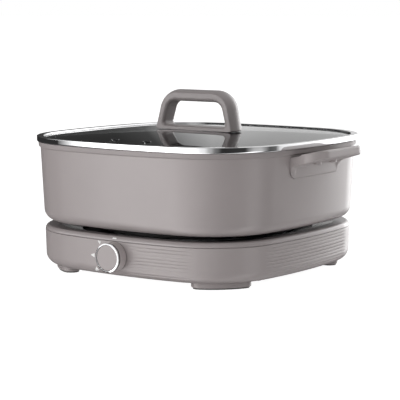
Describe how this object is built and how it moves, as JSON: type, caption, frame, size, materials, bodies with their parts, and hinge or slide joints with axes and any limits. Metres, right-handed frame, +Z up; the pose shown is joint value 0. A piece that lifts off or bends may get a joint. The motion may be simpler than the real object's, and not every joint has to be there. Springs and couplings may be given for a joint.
{
  "type": "electric hot pot",
  "caption": "Square electric hot pot with a lift-off domed glass lid, a lift-out pot with side handles, and a heated base with a rotary heat knob.",
  "frame": {"origin": "on the table, below the vertical axis through the middle of the pot", "axes": "+Z up, -Y towards the front where the knob is, +X towards the right-hand side handle"},
  "size_m": [0.3374, 0.2908, 0.1776],
  "materials": {
    "taupe_plastic": "satin taupe",
    "coated_pot": "cast aluminium with a satin taupe coat",
    "rim_steel": "polished stainless steel",
    "knob_chrome": "polished",
    "lid_glass": "clear tempered glass with a grey tint",
    "black_tray": "matt black",
    "plate_aluminium": "cast and turned",
    "element_steel": "heat-darkened sheath",
    "fastener_steel": "zinc plated",
    "foot_rubber": "matt",
    "black_plastic": "matt black",
    "pin_brass": "nickel-plated brass",
    "white_ceramic": "glazed ceramic",
    "wire_brown": "silicone insulation",
    "wire_blue": "silicone insulation",
    "wire_green": "silicone insulation"
  },
  "bodies": {
    "base": {"base_shell": "taupe_plastic", "top_ring": "taupe_plastic", "bottom_cover": "taupe_plastic", "foot_front_right": "taupe_plastic", "foot_rear_right": "taupe_plastic", "foot_rear_left": "taupe_plastic", "foot_front_left": "taupe_plastic", "drip_tray": "black_tray", "heating_plate": "plate_aluminium", "heating_element": "element_steel", "cover_screws": "fastener_steel", "plate_posts": "fastener_steel", "plate_screws": "fastener_steel", "switch_nut": "fastener_steel", "pad_front_right": "foot_rubber", "pad_rear_right": "foot_rubber", "pad_rear_left": "foot_rubber", "pad_front_left": "foot_rubber", "heat_switch": "black_plastic", "power_inlet": "black_plastic", "inlet_pins": "pin_brass", "thermostat": "white_ceramic", "thermal_fuse": "white_ceramic", "wire_live": "wire_brown", "wire_heater": "wire_brown", "wire_neutral": "wire_blue", "wire_fuse": "wire_blue", "wire_earth": "wire_green"},
    "knob": {"switch_shaft": "fastener_steel", "knob_body": "taupe_plastic", "knob_ring": "knob_chrome", "knob_cap": "taupe_plastic"},
    "pot": {"pot_body": "coated_pot", "handle_right": "taupe_plastic", "handle_left": "taupe_plastic", "handle_tab_right": "fastener_steel", "handle_tab_left": "fastener_steel", "handle_screws": "fastener_steel"},
    "lid": {"lid_rim": "rim_steel", "lid_glass": "lid_glass", "lid_handle": "taupe_plastic", "lid_handle_screws": "fastener_steel", "lid_handle_washers": "foot_rubber", "vent_grommets": "rim_steel"}
  },
  "joints": [
    {"name": "pot_lift", "type": "slide", "parent": "base", "child": "pot", "axis": [0, 0, 1], "range_m": [0, 0.12]},
    {"name": "lid_lift", "type": "slide", "parent": "pot", "child": "lid", "axis": [0, 0, 1], "range_m": [0, 0.15]},
    {"name": "knob_turn", "type": "hinge", "parent": "base", "child": "knob", "pos_m": [0, -0.135, 0.0264], "axis": [0, -1, 0], "range_deg": [0, 120]}
  ]
}
